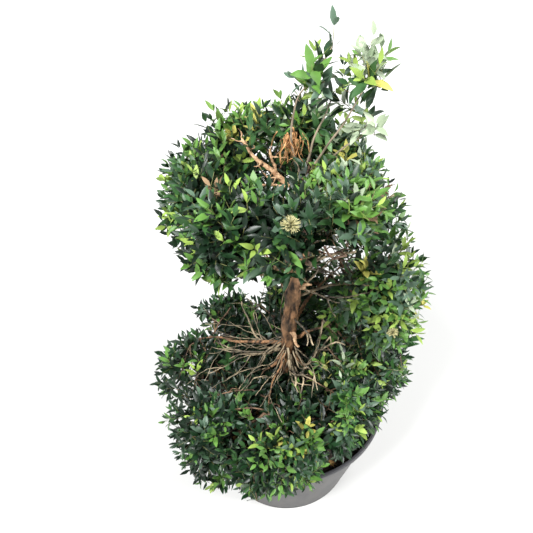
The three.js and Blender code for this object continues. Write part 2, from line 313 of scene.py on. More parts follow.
def flecked_finish(name, rough, per_metre, stops, detail=4.0, patchy=0.5, relief=None):
    """Bark, wood or compost in two tones: its flecks to the metre, and their relief as strength and depth."""
    finish, shader = new_material(name, Roughness=rough)
    place = add_node(finish, "ShaderNodeTexCoord").outputs["Object"]
    flecks = add_node(
        finish, "ShaderNodeTexNoise", Vector=place, Scale=per_metre, Detail=detail, Roughness=patchy
    )
    tone = add_node(finish, "ShaderNodeValToRGB", {"stops": stops}, Fac=flecks.outputs[0])
    finish.node_tree.links.new(tone.outputs[0], shader.inputs["Base Color"])
    if relief:
        strength, depth = relief
        bump = add_node(finish, "ShaderNodeBump", Height=flecks.outputs[0], Strength=strength, Distance=depth)
        finish.node_tree.links.new(bump.outputs[0], shader.inputs["Normal"])
    return finish


# Crumbs of about 7 mm, nearly black where moist and brown where a chip has dried, with no shine at all.
peat = flecked_finish(
    "moist_bark_compost", 0.93, 140.0, ((0.35, "#15110e"), (0.75, "#4a392c")),
    detail=6.0, patchy=0.75, relief=(0.8, 0.002),
)
mix.data.materials.append(peat)
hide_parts("potting_mix")
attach(mix, "root")


# ---- The trunk, boughs, stems and sawn stubs ----
# One leaning stem with old limbs, in thin flaking red-brown bark. Each line and thickness is read off its
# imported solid, the tubes are fused by a voxel remesh, and the bark's furrows are pressed into the skin.
limb_names = [n for n in frame["nodes"] if n == "trunk" or n.split("_")[0] in ("bough", "stem", "stub")]
mass_names = [n for n in frame["nodes"] if n.split("_")[0] in ("skirt", "rise", "ring", "crown", "tuft")]


def corners_of(name):
    mesh = frame["nodes"][name].data
    corners = np.empty(len(mesh.vertices) * 3)
    mesh.vertices.foreach_get("co", corners)
    return corners.reshape(-1, 3)


def limb_line(name, slices):
    """The centre line and thickness of a limb, read from slices of its solid from the trunk outwards."""
    corners = corners_of(name)
    middle = corners.mean(axis=0)
    if name == "trunk":
        along = np.array([0.0, 0.0, 1.0])
    else:
        along = np.linalg.svd(corners - middle, full_matrices=False)[2][0]
        inward = corners[np.argmin(np.hypot(corners[:, 0], corners[:, 1]) + 0.5 * corners[:, 2])]
        along = along if (inward - middle) @ along < 0 else -along
    reach = (corners - middle) @ along
    edges = np.linspace(reach.min(), reach.max() + 1e-6, slices + 1)
    line = []
    for low, high in zip(edges[:-1], edges[1:]):
        held = corners[(reach >= low) & (reach < high)]
        if len(held) < 4:
            continue
        centre = (held.min(axis=0) + held.max(axis=0)) / 2
        off = held - centre
        off = off - np.outer(off @ along, along)
        line.append([*centre, np.median(np.linalg.norm(off, axis=1)) * 0.97])
    line = np.array(line)
    line[1:-1, :3] = 0.5 * line[1:-1, :3] + 0.25 * (line[:-2, :3] + line[2:, :3])
    return line


lines = {name: limb_line(name, 18 if name == "trunk" else 5) for name in limb_names}
trunk_line = lines["trunk"]


def on_line(line, step):
    """The place and thickness so many steps along a line."""
    return np.array([np.interp(step, range(len(line)), line[:, k]) for k in range(4)])


def trunk_at(height):
    return np.array([np.interp(height, trunk_line[:, 2], trunk_line[:, k]) for k in (0, 1)] + [height])


# The limbs are drawn slimmer than their solids and a little bent, and each starts inside the trunk.
slimness = {"bough": 0.6, "stem": 0.5, "stub": 1.0}
bends = np.random.default_rng(7)
for name, line in lines.items():
    if name != "trunk":
        line[:, 3] *= slimness[name.split("_")[0]] * np.linspace(1.1, 0.6, len(line))
        line[1:-1, :3] += bends.normal(0, 0.001 if name.startswith("stem") else 0.004, (len(line) - 2, 3))
        if name.startswith("bough_skirt"):
            line[:, 2] -= np.linspace(0, 0.055, len(line))
        inner = line[0, :3] + (trunk_at(line[0, 2]) - line[0, :3]) * 0.8
        if name.startswith("stem"):
            inner = line[0, :3] + (trunk_at(trunk_line[-1, 2] - 0.02) - line[0, :3]) * 0.9
        lines[name] = np.vstack([[*inner, line[0, 3] * 1.3], line])


def add_tube(name, line, bevel=4):
    """A smooth round tube along a line of places, each with its thickness."""
    curve = bpy.data.curves.new(name, "CURVE")
    curve.dimensions = "3D"
    curve.bevel_depth = 1.0
    curve.bevel_resolution = bevel
    curve.use_fill_caps = True
    spline = curve.splines.new("BEZIER")
    spline.bezier_points.add(len(line) - 1)
    for point, (x, y, z, radius) in zip(spline.bezier_points, line):
        point.co = (x, y, z)
        point.radius = radius
        point.handle_left_type = point.handle_right_type = "AUTO"
    tube = bpy.data.objects.new(name, curve)
    bpy.context.collection.objects.link(tube)
    return tube


def joined(parts, name):
    """Tubes or meshes made one mesh object of this name."""
    bpy.ops.object.select_all(action="DESELECT")
    for part in parts:
        part.select_set(True)
    bpy.context.view_layer.objects.active = parts[0]
    bpy.ops.object.convert(target="MESH")
    if len(parts) > 1:
        bpy.ops.object.join()
    piece = bpy.context.object
    piece.name = name
    return piece


def one_skin(piece, voxel):
    """Overlapping parts fused into one closed skin, in steps of a voxel."""
    fuse = piece.modifiers.new("fuse", "REMESH")
    fuse.mode = "VOXEL"
    fuse.voxel_size = voxel
    bpy.ops.object.modifier_apply(modifier="fuse")


def fused_tubes(name, tube_lines, voxel, bevel=4):
    """Tubes along the lines, fused into one."""
    fused = joined([add_tube("tube", line, bevel) for line in tube_lines], name)
    one_skin(fused, voxel)
    bpy.ops.object.shade_smooth()
    fused.data.materials.clear()
    return fused


def press_relief(piece, *reliefs):
    """Furrows and lumps pressed into bark, drawn out along the stem."""
    stretch = bpy.data.objects.new("bark_grain", None)
    bpy.context.collection.objects.link(stretch)
    stretch.scale = (1, 1, 3.5)
    bpy.context.view_layer.update()
    for size, strength in reliefs:
        push_skin(
            piece, strength, texture=lumps("relief", size),
            texture_coords="OBJECT", texture_coords_object=stretch,
        )
    bpy.data.objects.remove(stretch)


stub_names = [name for name in limb_names if name.startswith("stub")]
stem_names = [name for name in limb_names if name.startswith("stem")]
bough_names = [name for name in limb_names if name.startswith("bough")]
trunk = fused_tubes("trunk_in_bark", [lines["trunk"]], 0.0016, 8)
press_relief(trunk, (0.03, 0.010), (0.008, 0.0075))
boughs = fused_tubes("boughs_in_bark", [lines[name] for name in bough_names], 0.0013)
press_relief(boughs, (0.02, 0.003), (0.006, 0.0018))

# Old bark flakes off in plates drawn out along the stem, tan on the fresh skin and painted dark in the cracks
# as shade there, and weathered patches a few centimetres across dull it to grey-brown.
bark, shader = new_material("flaking_red_brown_bark", Roughness=0.82)
place = add_node(bark, "ShaderNodeTexCoord").outputs["Object"]
grain_at = add_node(bark, "ShaderNodeMapping", Vector=place, Scale=(1, 1, 0.22))
plates = add_node(
    bark, "ShaderNodeTexNoise", Vector=grain_at.outputs[0], Scale=90.0, Detail=6.0, Roughness=0.65
)
patches = add_node(bark, "ShaderNodeTexNoise", Vector=place, Scale=26.0, Detail=4.0)
patch_share = add_node(
    bark, "ShaderNodeMapRange", Value=patches.outputs[0], From_Min=0.45, From_Max=0.62, To_Max=0.6
)
# The dark end of this tone, where the plates dip into cracks, is painted shade.
tone = add_node(
    bark, "ShaderNodeValToRGB", {"stops": ((0.38, "#1d150f"), (0.62, "#b88a62"))}, Fac=plates.outputs[0]
)
silver = add_node(
    bark, "ShaderNodeMix", {"data_type": "RGBA"},
    _0=patch_share.outputs[0], _6=tone.outputs[0], _7=linear("#4d4236"),
)
bark.node_tree.links.new(silver.outputs["Result"], shader.inputs["Base Color"])
bark_bump = add_node(bark, "ShaderNodeBump", Height=plates.outputs[0], Strength=1.0, Distance=0.003)
bark.node_tree.links.new(bark_bump.outputs[0], shader.inputs["Normal"])
for wood, held in ((trunk, ["trunk"]), (boughs, bough_names)):
    wood.data.materials.append(bark)
    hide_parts(*held)
    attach(wood, "root")


# ---- Stems of the tuft ----
# Young unclipped stems that fan out from the top of the trunk, in thin smooth grey-tan bark.
stem_goals = {
    "stem_tall_shoot": ("tuft_shoot", "tuft_tip"),
    "stem_tuft_left": ("tuft_back",),
    "stem_tuft_middle": ("tuft_middle",),
    "stem_tuft_right": ("tuft_right",),
}
for name, goals in stem_goals.items():
    line = lines[name]
    ends = [np.add(*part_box(goal)) / 2 for goal in goals]
    ends[-1][2] -= 0.02 * (len(goals) == 2)
    if len(goals) == 1:
        ends.append(ends[-1] + (ends[-1] - line[-1, :3]) * 0.35)
    line = np.vstack([line, [[*end, line[-1, 3]] for end in ends]])
    line[:, 3] = np.linspace(0.0022, 0.0008, len(line))
    lines[name] = line
stems = joined([add_tube("stem_tube", lines[name], 3) for name in stem_names], "tuft_stems")
bpy.ops.object.shade_smooth()
# Young bark is smooth and slightly silky, grey with tan clouds of about 14 mm.
stem_bark = flecked_finish("smooth_young_bark", 0.65, 70.0, ((0.35, "#6f6355"), (0.68, "#ab9a84")))
stems.data.materials.clear()
stems.data.materials.append(stem_bark)
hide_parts(*stem_names)
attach(stems, "root")


# ---- Sawn and torn limbs ----
# Where limbs were cut out of the groove and the head, short tan lengths of barked wood are left, some
# forked and one torn so that strips of orange inner bark hang off it.
stub_lines = [lines[name].copy() for name in stub_names]
upper = stub_lines[stub_names.index("stub_upper")]
upper[:, 3] *= np.linspace(0.95, 0.7, len(upper))
upper[2:-1, 2] -= 0.004
upper_forks = []
# The forks of the upper one: how far along it, which way, how long, how thin, and their twiglets' ways.
for share, way, reach, thin, twiglets in [
    (0.55, (-0.25, 0.15, 1.0), 0.046, 0.62, [(1.0, 0.1, -0.1)]),
    (0.22, (-1.0, -0.15, 0.1), 0.066, 0.42, [(-0.5, 0.1, 0.8), (-0.9, -0.1, 0.5), (0.3, 0.1, 0.9)]),
    (0.4, (-0.9, -0.3, 0.5), 0.04, 0.34, [(0.4, 0.2, 0.8), (-0.5, 0.1, 0.9)]),
    (0.96, (-0.3, 0.4, 0.9), 0.024, 0.6, []), (0.98, (-1.0, 0.1, 0.15), 0.026, 0.55, []),
    (0.84, (0.15, 0.1, 1.0), 0.018, 0.45, []), (0.7, (-0.5, -0.5, 0.4), 0.02, 0.4, []),
]:
    at = on_line(upper, share * (len(upper) - 1))
    way = np.array(way) / np.linalg.norm(way)
    fork = []
    for part in (0.0, 0.35, 0.7, 1.0):
        spot = at[:3] + way * reach * part + bends.normal(0, 0.0018, 3)
        fork.append([*spot, at[3] * thin * (1 - 0.4 * part)])
    upper_forks.append(np.array(fork))
    for turn, twiglet in enumerate(twiglets):
        side_way = np.array(twiglet) / np.linalg.norm(twiglet)
        root = np.array(fork[2 + turn % 2][:3])
        upper_forks.append(np.array([
            [*(root + side_way * 0.026 * part), 0.0011 - 0.0003 * part] for part in (0.0, 0.5, 1.0)
        ]))
stub_lines += upper_forks
stubs = fused_tubes("sawn_stubs", stub_lines, 0.0011, 3)
push_skin(stubs, 0.003, texture=lumps("knots", 0.007))
# Dead limb wood bleached tan, with darker specks of about 8 mm and a finely cracked surface.
dry_wood = flecked_finish(
    "dry_tan_limb_wood", 0.7, 120.0, ((0.34, "#86603f"), (0.64, "#dcb890")),
    detail=6.0, patchy=0.7, relief=(0.5, 0.001),
)
stubs.data.materials.append(dry_wood)
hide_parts(*stub_names)
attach(stubs, "root")


# ---- The clipped outline ----
# The masses of the band are closed into one skin, with the joints between them filled. Twigs grow inside
# it and leafy shoots end on it. It is only a mould, and is taken away once the shoots have their places.
def mould_of(names, swell, voxel):
    """Masses swollen until they join, made one skin, shrunk back by as much and eased."""
    copies = []
    for name in names:
        copy = bpy.data.objects.new(name + "_mould", frame["nodes"][name].data.copy())
        bpy.context.collection.objects.link(copy)
        copies.append(copy)
    mould = joined(copies, "mould")
    bpy.ops.object.mode_set(mode="EDIT")
    bpy.ops.mesh.select_all(action="SELECT")
    bpy.ops.mesh.remove_doubles(threshold=1e-5)
    bpy.ops.object.mode_set(mode="OBJECT")
    push_skin(mould, swell, mid_level=0.0)
    one_skin(mould, voxel)
    push_skin(mould, -swell, mid_level=0.0)
    ease = mould.modifiers.new("ease", "SMOOTH")
    ease.factor = 0.5
    ease.iterations = 3
    bpy.ops.object.modifier_apply(modifier="ease")
    return mould


band_names = [name for name in mass_names if not name.startswith("tuft")]
band = mould_of(band_names, 0.016, 0.009)
rng = np.random.default_rng(41)


def skin_points(mould, count):
    """Seeded random points on a mould, with the way its skin faces."""
    mesh = mould.data
    mesh.calc_loop_triangles()
    ids = np.empty(len(mesh.loop_triangles) * 3, dtype=np.int32)
    mesh.loop_triangles.foreach_get("vertices", ids)
    place = np.empty(len(mesh.vertices) * 3)
    mesh.vertices.foreach_get("co", place)
    corner = place.reshape(-1, 3)[ids.reshape(-1, 3)]
    cross = np.cross(corner[:, 1] - corner[:, 0], corner[:, 2] - corner[:, 0])
    size = np.linalg.norm(cross, axis=1)
    pick = rng.choice(len(size), count, p=size / size.sum())
    a, b = rng.random(count) ** 0.5, rng.random(count)
    share = np.stack([1 - a, a * (1 - b), a * b], axis=1)
    return (corner[pick] * share[:, :, None]).sum(axis=1), cross[pick] / size[pick][:, None]


def thinned(places, spacings):
    """Keeps points that stay their own spacing apart from those kept before them."""
    cell = float(spacings.max())
    grid = {}
    kept = []
    for i, (point, gap) in enumerate(zip(places, spacings)):
        if not np.isfinite(gap) or gap <= 0:
            continue
        home = tuple(int(math.floor(c / cell)) for c in point)
        near = [
            j
            for dx in (-1, 0, 1) for dy in (-1, 0, 1) for dz in (-1, 0, 1)
            for j in grid.get((home[0] + dx, home[1] + dy, home[2] + dz), ())
        ]
        if near and (np.linalg.norm(places[near] - point, axis=1) < gap).any():
            continue
        grid.setdefault(home, []).append(i)
        kept.append(i)
    return np.array(kept)


def smooth_step(value, low, high):
    share = np.clip((value - low) / (high - low), 0, 1)
    return share * share * (3 - 2 * share)


def nearness(places, middle, reach):
    """One at the middle of a spot, falling off softly beyond its reach."""
    return np.exp(-((np.linalg.norm(places - middle, axis=1) / reach) ** 2))


# Closeness is how thickly leafy shoots stand on the skin: one on a lit face, and none where it is bare.
skin_place, skin_way = skin_points(band, 70000)
from_stem = np.hypot(skin_place[:, 0], skin_place[:, 1])
outwards = (skin_way[:, :2] * skin_place[:, :2]).sum(axis=1) / np.maximum(from_stem, 1e-6)
height, facing_up = skin_place[:, 2], skin_way[:, 2]
skirt_top, skirt_shoulder = 0.66, 0.42
in_skirt = height < skirt_top
shoulder = in_skirt & (height > skirt_shoulder)
# The inner slope of the skirt is thin, and so is every face that looks at the stem.
slope = in_skirt & (facing_up > 0.15)
bare_reach = np.where(in_skirt, 0.03, np.where(facing_up > 0.1, 0.01, 0.06))
openness = smooth_step(from_stem, bare_reach, bare_reach + np.where(in_skirt, 0.045, 0.03))
lit = smooth_step(outwards + 0.9 * facing_up, -0.55, 0.2)
under = np.where((outwards + facing_up < -0.45) & ~shoulder, 0.4, 1.0)
closeness = np.where(shoulder, 0.55 + 0.45 * lit, 0.3 + 0.7 * lit) * openness * under
closeness *= np.where(slope, 0.55 + 0.45 * smooth_step(from_stem, 0.16, 0.24), 1.0)
# The hollow in the top of the ring, left by the sawn limbs.
hollow = np.hypot((skin_place[:, 0] + 0.052) / 0.066, (skin_place[:, 1] - 0.004) / 0.046)
closeness = np.where(height > 0.97, closeness * smooth_step(hollow, 0.85, 1.25), closeness)
# The right-hand side has grown out thin, with daylight through it.
closeness *= 1 - 0.42 * smooth_step(skin_place[:, 0], 0.05, 0.14) * smooth_step(height, 0.6, 0.72)
# Daylight shows through under the ring, between it and the rise.
gap_from, gap_to = np.array([0.055, -0.10, 0.93]), np.array([0.085, 0.22, 0.59])
gap_way = gap_to - gap_from
share = ((skin_place - gap_from) @ gap_way) / (gap_way @ gap_way)
from_gap = np.linalg.norm(skin_place - gap_from - share[:, None] * gap_way, axis=1)
closeness *= smooth_step(from_gap, 0.03, 0.08)
# The skirt's left side and its back left corner are thin too.
left_side = smooth_step(-skin_place[:, 0], 0.15, 0.26) * in_skirt
closeness *= 1 - 0.55 * left_side
closeness *= 1 - 0.35 * nearness(skin_place, [-0.16, 0.2, 0.47], 0.09)
closest_gap, widest_gap = 0.0178, 0.05
shoot_gap = closest_gap / np.maximum(closeness, 0.05) ** 0.55
kept = thinned(skin_place, np.where(closeness < 0.13, -1.0, np.minimum(shoot_gap, widest_gap)))
# Shoots end a little inside the skin, as their leaves reach past them, and further in underneath.
tuck = 0.014 + np.where(height > 0.7, 0.026, 0.010) * np.maximum(0, -facing_up)
tuck = tuck + 0.020 * slope * (1 - smooth_step(from_stem, 0.17, 0.26))
tuck = tuck + rng.uniform(-0.008, 0.008, len(tuck))
# It is an old clipping: here and there growth has run past it (+), or was cut back hard (-).
for spot, reach, proud in [
    ((-0.03, 0.09, 1.07), 0.055, 0.034), ((-0.185, 0.125, 1.0), 0.05, 0.014),
    ((-0.2, 0.06, 1.015), 0.05, 0.014), ((-0.13, -0.255, 0.36), 0.05, 0.03),
    ((0.22, 0.116, 0.8), 0.05, 0.012), ((0.253, 0.02, 0.775), 0.05, 0.012),
    ((0.247, -0.054, 0.69), 0.05, 0.012), ((0.145, 0.04, 1.0), 0.045, -0.022),
    ((-0.31, 0.05, 0.45), 0.06, -0.035), ((-0.28, 0.08, 0.465), 0.06, -0.03),
    ((-0.15, 0.215, 0.48), 0.08, -0.035), ((-0.075, 0.17, 1.0), 0.07, 0.028),
    ((-0.05, 0.2, 0.98), 0.05, 0.022), ((0.15, 0.0, 1.0), 0.04, -0.01),
    ((-0.21, 0.18, 0.41), 0.05, -0.015),
]:
    tuck -= proud * nearness(skin_place, spot, reach)
shoot_end, shoot_face = (skin_place - skin_way * tuck[:, None])[kept], skin_way[kept]

# Old leaves stay on further in, fewer and painted darker as shade, and shut most of the light out of the
# middle.
inner_gap = 0.027 / np.maximum(closeness, 0.05) ** 0.5
inner = rng.permutation(len(skin_place))
inner_gap = np.where((closeness < 0.25) | (left_side > 0.5), -1.0, np.minimum(inner_gap, widest_gap))
inner = inner[thinned(skin_place[inner], inner_gap[inner])]
inner_end = skin_place[inner] - skin_way[inner] * rng.uniform(0.042, 0.06, len(inner))[:, None]


def strewn(count, *ranges):
    """Random places in a box, its range given along each axis."""
    return np.stack([rng.uniform(low, high, count) for low, high in ranges], axis=1)


# The head of the ring is closed over the stem, all but the hollow, and stands higher behind.
cap = strewn(1100, (-0.1, 0.12), (-0.1, 0.13), (1.028, 1.052))
cap_hollow = np.hypot((cap[:, 0] + 0.052) / 0.066, (cap[:, 1] - 0.006) / 0.045)
cap_reach = np.hypot(cap[:, 0] - 0.01, cap[:, 1])
behind = (cap[:, 1] > 0.05) & (cap[:, 0] < 0.02)
cap = cap[(cap_hollow > 1.0) & (cap_reach > 0.018) & (cap_reach < np.where(behind, 0.135, 0.1))]
cap = cap[thinned(cap, np.full(len(cap), 0.018))]
behind = (cap[:, 1] > 0.05) & (cap[:, 0] < 0.02)
cap[:, 2] += np.where(behind, 0.02, -0.012 * (np.hypot(cap[:, 0], cap[:, 1]) > 0.07))
# Old growth, its leaves painted dark as shade, closes the bottom of the hollow, and the middle of the skirt
# below the fan.
turn = rng.uniform(0, 2 * math.pi, 900)
out = rng.uniform(0.036, 0.14, 900)
collar = np.stack([out * np.cos(turn), out * np.sin(turn), rng.uniform(0.425, 0.475, 900)], axis=1)
pit = strewn(300, (-0.13, 0.02), (-0.05, 0.05), (0.95, 0.99))
pit = pit[np.hypot(pit[:, 0] - 0.008, pit[:, 1]) > 0.02]
dark = np.vstack([collar, pit])
dark = dark[thinned(dark, np.full(len(dark), 0.02))]
shoot_is_inner = np.repeat([False, True, False, True], [len(kept), len(inner), len(cap), len(dark)])
shoot_end = np.vstack([shoot_end, inner_end, cap, dark])
shoot_face = np.vstack([shoot_face, skin_way[inner], np.tile([0, 0, 1.0], (len(cap) + len(dark), 1))])


# ---- Twigs ----
# Each new twig springs from the nearest wood already grown, with a cost on long ways round, so the
# tree spreads from the boughs through the masses and ends in the leafy shoots of the clipped skin.
inside = BVHTree.FromObject(band, bpy.context.evaluated_depsgraph_get())


def held_inside(point):
    """Whether a place is inside the mould, by how often a straight way out crosses its skin."""
    spot, way, crossings = Vector(point), Vector((0.31, 0.17, 0.93)), 0
    while True:
        hit = inside.ray_cast(spot, way)[0]
        if hit is None:
            return crossings % 2 == 1
        crossings += 1
        spot = hit + way * 1e-5


class Tree:
    """Places joined to the wood they spring from, each with the length of its way to a limb."""

    def __init__(self, size):
        self.place = np.zeros((size, 3))
        self.way = np.zeros(size)
        self.parent = np.full(size, -1)
        self.thick = np.zeros(size)
        self.count = 0

    def add(self, point, parent, way, thick=0.0):
        i = self.count
        self.place[i], self.parent[i], self.way[i], self.thick[i] = point, parent, way, thick
        self.count += 1
        return i

    def nearest(self, point, long_way=0.3):
        gap = np.linalg.norm(self.place[: self.count] - point, axis=1)
        best = int(np.argmin(gap + long_way * self.way[: self.count]))
        return best, float(gap[best])

    def spring(self, point):
        parent, gap = self.nearest(point)
        return self.add(point, parent, self.way[parent] + gap)


# The wood starts as places along the limbs, those on the trunk costing a little more to spring from.
tree = Tree(16000)
for name, line in lines.items():
    if name.startswith("stub") or name.startswith("stem"):
        continue
    fine = np.linspace(0, len(line) - 1, 10 * (len(line) - 1) if name == "trunk" else 12)
    for step in fine:
        spot = on_line(line, step)
        if name != "trunk" or spot[2] > 0.42:
            start_cost = 0.08 if name == "trunk" else 0.0
            tree.add(spot[:3], -1, start_cost, spot[3])
limb_count = tree.count

# Guide places fill the masses about 30 mm apart, well inside the mould, for the branches to reach.
low, high = cad_box
pitch = 0.03
steps_along = [np.arange(low[k], high[k], pitch) for k in range(3)]
grid = np.stack(np.meshgrid(*steps_along, indexing="ij"), -1).reshape(-1, 3)
grid = grid + rng.uniform(-0.4, 0.4, grid.shape) * pitch
grid = grid[np.hypot(grid[:, 0], grid[:, 1]) > 0.11]
guides = np.array([p for p in grid if held_inside(p) and inside.find_nearest(Vector(p))[3] > 0.03])

# Bare grey and tan branches fan out over the inner slope of the skirt, stripped where the groove
# keeps the light off them, and go under the leaves only near their ends. Others climb to the rise.
def slope_height(x, y):
    hit = inside.ray_cast(Vector((x, y, 0.70)), Vector((0, 0, -1)))[0]
    return hit.z if hit else 0.42


def grow_bare(parent, start, turn, reach, thick, forks, climb=None):
    steps = max(3, int(reach / 0.017))
    spot = np.array(start, dtype=float)
    stride = reach / steps
    bias = rng.normal(0, 0.05)
    for step in range(1, steps + 1):
        share = step / steps
        turn += bias + rng.normal(0, 0.15)
        spot[:2] += stride * np.array([math.cos(turn), math.sin(turn)])
        if climb is None:
            lie = slope_height(spot[0], spot[1]) + 0.002
            spot[2] = max((1 - share) * start[2] + share * lie, lie - 0.002) + rng.normal(0, 0.0015)
        else:
            spot[2] += stride * (climb + rng.normal(0, 0.12))
            if math.hypot(spot[0], spot[1]) > 0.12 and not held_inside(spot):
                break
        way = tree.way[parent] + stride if parent >= 0 else 0.03
        parent = tree.add(spot, parent, way * 0.7 if step == 1 else way, thick * (1 - 0.55 * share))
        if forks and step in (steps // 3, steps // 2, steps - 2) and rng.random() < 0.5:
            swerve = turn + rng.choice([-1, 1]) * rng.uniform(0.4, 0.8)
            grow_bare(parent, spot.copy(), swerve, reach * rng.uniform(0.3, 0.5), thick * 0.62, False, climb)


fan_count = 30
for k in range(fan_count):
    turn = math.radians(70 + 275 * (k + rng.uniform(-0.4, 1.4)) / fan_count)
    start = trunk_at(rng.uniform(0.48, 0.575))
    left_share = 0.5 - 0.5 * math.cos(turn)
    reach = rng.uniform(0.06, 0.14) + 0.10 * left_share
    grow_bare(-1, start, turn, reach, rng.choice([0.0011, 0.0015, 0.002, 0.0032]), True)
climbing_count = 20
for k in range(climbing_count):
    turn = math.radians(-45 + 160 * (k + rng.uniform(0.1, 0.9)) / climbing_count)
    start = trunk_at(rng.uniform(0.58, 0.86))
    reach, thick, climb = rng.uniform(0.11, 0.17), rng.uniform(0.0018, 0.0034), rng.uniform(0.2, 1.0)
    grow_bare(-1, start, turn, reach, thick, True, climb)
bare_count = tree.count

grown_wood = tree.place[: tree.count]
order = np.argsort([np.linalg.norm(grown_wood - point, axis=1).min() for point in guides])
for point in guides[order]:
    tree.spring(point)


# Shoots are joined to the twigs a little way in from the skin, and lean out and up from there.
def shoot_bases(ends, faces, lengths, lean):
    out = faces + rng.normal(0, lean, faces.shape)
    out[:, 2] += 0.35
    out /= np.linalg.norm(out, axis=1)[:, None]
    return ends - out * lengths[:, None]


def spring_from_wood(bases):
    """Joins shoots to the tree, nearest first, and tells where in it each one is."""
    wood = tree.place[: tree.count]
    order = np.argsort([np.linalg.norm(wood - point, axis=1).min() for point in bases])
    node = np.full(len(bases), -1)
    for i in order:
        node[i] = tree.spring(bases[i])
    return node


# Little is left hanging under the ring, least of all at the front right, where it draws up.
to_underside = np.zeros(len(shoot_end))
for i, spot in enumerate(shoot_end):
    gap = inside.ray_cast(Vector(spot), Vector((0, 0, -1)))[3]
    to_underside[i] = gap if gap is not None else 0.0
azimuth = np.arctan2(shoot_end[:, 1], shoot_end[:, 0])
front_right = np.exp(-(((azimuth + 1.05) / 0.75) ** 2)) * (shoot_end[:, 0] > -0.05)
front_left = nearness(shoot_end, [-0.135, -0.05, 0.85], 0.12)
hangs = (shoot_end[:, 2] > 0.7) & (shoot_end[:, 2] < 1.02)
hangs &= to_underside < 0.026 + 0.062 * front_right + 0.062 * front_left
hangs &= ~((shoot_end[:, 0] > 0.1) & (shoot_end[:, 2] < 0.88))
shoot_end, shoot_face, shoot_is_inner = shoot_end[~hangs], shoot_face[~hangs], shoot_is_inner[~hangs]

# Nothing grows on or just above the upper stub and its low fork, so both show in the hollow.
stub_line = lines["stub_upper"]
stub_fine = np.array([on_line(stub_line, step)[:3] for step in np.linspace(1, len(stub_line) - 1, 14)])
low_fork = stub_fine[3] + np.array([-1.0, -0.15, 0.1]) * np.linspace(0.02, 0.09, 5)[:, None]
stub_fine = np.vstack([stub_fine, low_fork])
from_stub = np.linalg.norm(shoot_end[:, None] - stub_fine[None], axis=2)
over_stub = shoot_end[:, 2] > stub_fine[from_stub.argmin(axis=1)][:, 2] - 0.012
clear = ~((from_stub.min(axis=1) < 0.034) & over_stub)
shoot_end, shoot_face, shoot_is_inner = shoot_end[clear], shoot_face[clear], shoot_is_inner[clear]
shoot_length = rng.uniform(0.035, 0.072, len(shoot_end))
shoot_base = shoot_bases(shoot_end, shoot_face, shoot_length, 0.33)
shoot_node = spring_from_wood(shoot_base)
band_shoots = len(shoot_end)


# ---- The tuft at the head ----
# The stems kept unclipped at the top carry long loose shoots, with much air between them.
tuft_names = [name for name in mass_names if name.startswith("tuft")]
for name in stem_names:
    line = lines[name]
    for step in np.linspace(0.5, len(line) - 1, 16):
        spot = on_line(line, step)
        tree.add(spot[:3], -1, 0.0, spot[3])

tuft_end, tuft_face = [], []
tuft_gaps = {
    "tuft_shoot": 0.034, "tuft_tip": 0.026, "tuft_back": 0.037, "tuft_middle": 0.026, "tuft_right": 0.029,
}
for name, gap in tuft_gaps.items():
    clump = mould_of([name], 0.004, 0.006)
    place_on, way_on = skin_points(clump, 1500)
    keep = thinned(place_on, np.full(len(place_on), gap))
    tuft_end.append(place_on[keep])
    tuft_face.append(way_on[keep])
    bpy.data.objects.remove(clump)
tuft_end, tuft_face = np.vstack(tuft_end), np.vstack(tuft_face)
tuft_length = rng.uniform(0.03, 0.065, len(tuft_end))
tuft_base = shoot_bases(tuft_end, tuft_face, tuft_length, 0.25)
# None of them hang, or stand out past the tuft to the right or above it.
kept = (tuft_end[:, 0] < 0.104) & (tuft_face[:, 2] > -0.25) & (tuft_base[:, 2] < 1.245)
# Three sprigs carry the tuft's highest leaves, one rises beside them, and three run up the tall shoot.
sprigs = np.array([
    [(0.075, 0.002, 1.205), (0.084, 0.0, 1.246)], [(0.078, 0.004, 1.19), (0.106, 0.004, 1.222)],
    [(0.066, 0.004, 1.185), (0.066, 0.008, 1.222)], [(0.052, 0.008, 1.165), (0.05, 0.012, 1.198)],
    [(-0.008, -0.005, 1.15), (0.009, -0.012, 1.188)], [(0.011, -0.012, 1.192), (0.03, -0.002, 1.229)],
    [(0.0315, -0.0015, 1.231), (0.031, 0.0, 1.258)],
])
tuft_base = np.vstack([tuft_base[kept], sprigs[:, 0]])
tuft_end = np.vstack([tuft_end[kept], sprigs[:, 1]])
tuft_node = spring_from_wood(tuft_base)
bpy.data.objects.remove(band)

shoot_end = np.vstack([shoot_end, tuft_end])
shoot_base = np.vstack([shoot_base, tuft_base])
shoot_node = np.concatenate([shoot_node, tuft_node])
in_tuft = np.arange(len(shoot_end)) >= band_shoots
shoot_is_inner = np.concatenate([shoot_is_inner, np.zeros(len(tuft_end), bool)])

# A twig is as thick as the shoots that hang on it ask, from one millimetre at the tip.
load = np.zeros(tree.count)
load[shoot_node] += 1
parent = tree.parent[: tree.count]
pending = np.bincount(parent[parent >= 0], minlength=tree.count)
ready = [i for i in range(tree.count) if pending[i] == 0]
while ready:
    i = ready.pop()
    holder = parent[i]
    if holder >= 0:
        load[holder] += max(load[i], 0.3)
        pending[holder] -= 1
        if pending[holder] == 0:
            ready.append(holder)
twig_thick = np.clip(0.00055 * np.maximum(load, 1) ** 0.42, 0.00055, 0.0045)
bare = np.zeros(tree.count, dtype=bool)
bare[limb_count:bare_count] = True
twig_thick[bare] = np.maximum(twig_thick[bare], tree.thick[: tree.count][bare])


